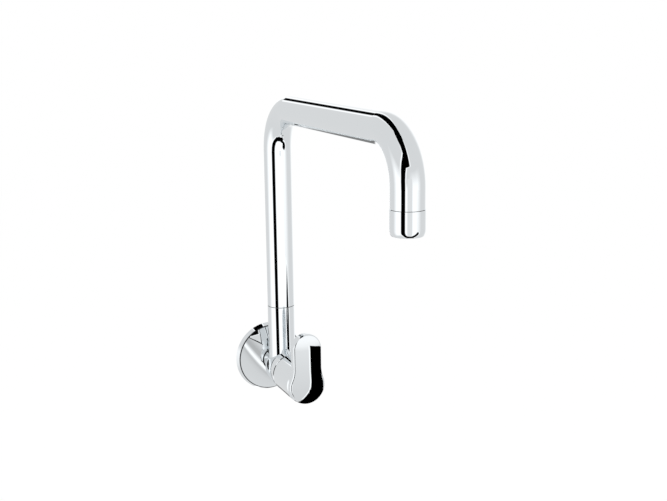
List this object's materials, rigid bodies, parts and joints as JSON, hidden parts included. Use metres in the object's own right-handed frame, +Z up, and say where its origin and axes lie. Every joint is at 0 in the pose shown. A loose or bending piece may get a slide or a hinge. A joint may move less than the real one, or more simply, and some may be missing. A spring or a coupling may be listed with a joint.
{
  "type": "wall-mounted swivel-spout tap",
  "caption": "Chrome wall tap with a round flange, an upright teardrop lever and a squared swan-neck spout that swivels on a stub.",
  "frame": {"origin": "centre of the inlet on the wall plane", "axes": "+Y into the wall along the inlet, +Z up along the riser, the spout reaches towards -Y"},
  "size_m": [0.0674, 0.3138, 0.2892],
  "materials": {
    "chrome": "polished chrome plate",
    "brass": "machined",
    "steel": "bright stainless",
    "rubber": "matt black",
    "foam": "fine closed-cell foam",
    "nylon": "grey moulded",
    "ceramic": "lapped white ceramic",
    "acetal": "white moulded"
  },
  "bodies": {
    "body": {"wall_flange": "chrome", "flange_gasket": "foam", "flange_o_ring": "rubber", "valve_body": "chrome", "seat_seal": "rubber", "headwork_body": "brass", "headwork_washer": "rubber", "fixed_disc": "ceramic", "thrust_washer": "acetal", "handle_guide_ring": "nylon", "spout_slip_ring": "nylon", "spout_retaining_screw": "steel"},
    "handle": {"lever_handle": "chrome", "lever_grub_screw": "steel", "spindle": "brass", "turning_disc": "ceramic", "spindle_o_rings": "rubber", "spindle_circlip": "steel"},
    "spout": {"spout_tube": "chrome", "swivel_nipple": "brass", "swivel_o_rings": "rubber", "swivel_guide_rings": "acetal", "outlet_ferrule": "brass", "aerator_housing": "chrome", "aerator_washer": "rubber", "aerator_cage": "acetal", "aerator_screens": "steel", "flow_regulator": "acetal"}
  },
  "joints": [
    {"name": "spout_swivel", "type": "hinge", "parent": "body", "child": "spout", "pos_m": [0, -0.036, 0.06], "axis": [0, 0, 1], "range_deg": [-90, 90]},
    {"name": "lever_turn", "type": "hinge", "parent": "body", "child": "handle", "pos_m": [0, -0.058, 0], "axis": [0, -1, 0], "range_deg": [0, 90]}
  ]
}
